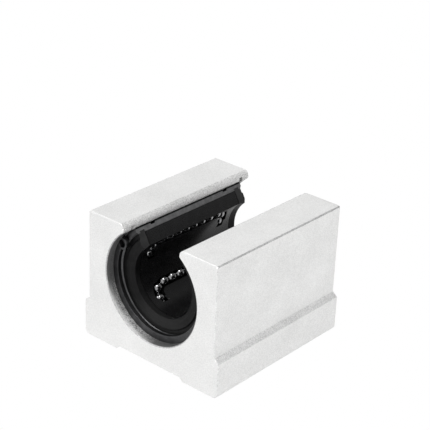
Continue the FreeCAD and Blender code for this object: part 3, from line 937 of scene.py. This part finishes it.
def makeSetScrew():
    # one grid from the socket's floor out over the head, down the thread and in over the point: the radius
    # of each station is a hexagon in the socket, half the width over the cosine from its nearest flat, and
    # a helix on the thread
    head = screwLow[0]
    point = screwHigh[0]
    turn = np.linspace(0, 2 * math.pi, setScrew["around"], endpoint=False)
    flat = setScrew["socketAcross"] / 2
    hexagon = flat / np.cos((turn + math.pi / 6) % (math.pi / 3) - math.pi / 6)
    floor = head + setScrew["socketDepth"]
    mouth = flat + setScrew["socketMouth"] + setScrew["socketLand"]
    rim = setScrew["radius"] - setScrew["chamfer"]
    pole = np.full_like(turn, setScrew["poleRadius"])
    stations = [
        (floor + setScrew["socketCone"], pole),
        (floor, hexagon * setScrew["floorShare"]),
        (floor, hexagon),
        (head + setScrew["socketMouth"], hexagon),
        (head, np.maximum(hexagon, mouth)),
        (head, np.full_like(turn, rim)),
    ]
    inset = setScrew["threadInset"]
    for along in np.arange(head + inset, point - inset, setScrew["pitch"] / setScrew["stationsPerTurn"]):
        height = ridge(along / setScrew["pitch"] - turn / (2 * math.pi))
        wave = setScrew["radius"] - setScrew["threadDepth"] * (1 - height)
        stations.append((along, np.minimum(wave, rim + min(along - head, point - along))))
    stations += [(point, np.full_like(turn, rim)), (point, pole)]
    along = np.array([station[0] for station in stations])[:, None]
    spread = np.array([station[1] for station in stations])
    grid = toFrame(along, spread * np.cos(turn), spread * np.sin(turn))
    piece = newPiece("setScrew", grid, cappedFaces(*grid.shape[:2]))
    dress(piece, "set_screw", ["set_screw"], bushMaterials["blackenedSteel"])


makeSetScrew()
print("set screw built")

# floor, room and panels; lengths in metres
stage = {
    "floorSize": 3.0,
    "floorColour": (0.93, 0.93, 0.93),
    "darkSide": (0.35, 0.7, 0.62),  # the direction in which the room is darkest
    "darkFrom": 0.3,  # the cosine from that direction at which it begins to darken
    "roomLight": 0.84,
    "roomDark": 0.3,
    "white": 1.0,
    "aim": (0.0, 0.0, 0.02),
    "panels": {
        "keyPanel": {"place": (-0.3, -0.8, 0.9), "power": 4.2, "size": 0.6},
        "topPanel": {"place": (0.25, -0.1, 1.0), "power": 3.6, "size": 0.25},
        "fillPanel": {"place": (0.9, -0.2, 0.5), "power": 2.0, "size": 0.6},
    },
}


def makeFloor():
    # pale paper for the light that it sends back, but plain white where it is seen, mirrored or seen through
    # something clear
    half = stage["floorSize"] / 2
    mesh = bpy.data.meshes.new("floor")
    corners = [(-half, -half, 0), (half, -half, 0), (half, half, 0), (-half, half, 0)]
    mesh.from_pydata(corners, [], [[0, 1, 2, 3]])
    material, tree, shader = newMaterial(
        "floorPaper", stage["floorColour"], metallic=0.0, roughness=0.9, specular=0.1,
    )
    glow = tree.nodes.new("ShaderNodeEmission")
    glow.inputs["Strength"].default_value = stage["white"]
    path = tree.nodes.new("ShaderNodeLightPath")
    choice = tree.nodes.new("ShaderNodeMixShader")
    seen = calculated(tree, "MAXIMUM", path.outputs["Is Camera Ray"], path.outputs["Is Glossy Ray"])
    seen = calculated(tree, "MAXIMUM", seen, path.outputs["Is Transmission Ray"])
    tree.links.new(seen, choice.inputs["Fac"])
    tree.links.new(shader.outputs["BSDF"], choice.inputs[1])
    tree.links.new(glow.outputs["Emission"], choice.inputs[2])
    tree.links.new(choice.outputs["Shader"], tree.nodes["Material Output"].inputs["Surface"])
    mesh.materials.append(material)
    floor = linked("floor", mesh)


def makeWorld():
    # a pale room for the lighting and white in the block's polish, both darker towards darkSide; plain white
    # behind the block and through anything clear
    world = bpy.data.worlds.new("studio")
    bpy.context.scene.world = world
    world.use_nodes = True
    tree = world.node_tree
    background = tree.nodes["Background"]
    direction = tree.nodes.new("ShaderNodeTexCoord")
    turned = tree.nodes.new("ShaderNodeVectorMath")
    turned.operation = "DOT_PRODUCT"
    turned.inputs[1].default_value = Vector(stage["darkSide"]).normalized()
    tree.links.new(direction.outputs["Generated"], turned.inputs[0])
    cosine = turned.outputs["Value"]
    path = tree.nodes.new("ShaderNodeLightPath")
    room = remap(tree, cosine, stage["darkFrom"], 1.0, stage["roomLight"], stage["roomDark"])
    mirrored = remap(tree, cosine, stage["darkFrom"], 1.0, stage["white"], stage["roomDark"])
    strength = mixed(tree, path.outputs["Is Glossy Ray"], room, mirrored)
    for flag in ("Is Transmission Ray", "Is Camera Ray"):
        strength = mixed(tree, path.outputs[flag], strength, stage["white"])
    tree.links.new(strength, background.inputs["Strength"])
    background.inputs["Color"].default_value = (1.0, 1.0, 1.0, 1.0)


def addPanel(name, place, power, size):
    # a square soft light turned towards the block
    light = bpy.data.lights.new(name, "AREA")
    light.energy = power
    light.size = size
    panel = linked(name, light)
    panel.location = place
    panel.rotation_euler = (Vector(stage["aim"]) - Vector(place)).to_track_quat("-Z", "Y").to_euler()


makeFloor()
makeWorld()
for name, panel in stage["panels"].items():
    addPanel(name, **panel)

view = {
    "turn": 40.2,  # degrees from the front towards +X
    "height": 25.76,  # degrees above the level
    "roll": 2.43,
    "distance": 371.1,  # from the target
    "target": (-1.21, 1.06, 34.88),
    "focal": 116.3,
    "sensor": 36.0,
    "nearest": 10.0,  # from the lens, where its view begins
}


def makeCamera():
    # the camera looks at the target from the direction that turn and height give, then rolls about that
    # line
    turn, height, roll = (math.radians(view[key]) for key in ("turn", "height", "roll"))
    back = Vector((math.sin(turn) * math.cos(height), -math.cos(turn) * math.cos(height), math.sin(height)))
    right = Vector((math.cos(turn), math.sin(turn), 0))
    up = back.cross(right)
    rolledRight = right * math.cos(roll) + up * math.sin(roll)
    rolledUp = up * math.cos(roll) - right * math.sin(roll)
    data = bpy.data.cameras.new("camera")
    data.sensor_width = view["sensor"]
    data.lens = view["focal"]
    data.clip_start = view["nearest"] * mm
    camera = linked("camera", data)
    place = (Vector(view["target"]) + back * view["distance"]) * mm
    turning = Matrix((rolledRight, rolledUp, back)).transposed().to_4x4()
    camera.matrix_world = Matrix.Translation(place) @ turning
    bpy.context.scene.camera = camera


makeCamera()
bpy.context.scene.view_settings.view_transform = "Standard"
print("studio ready")
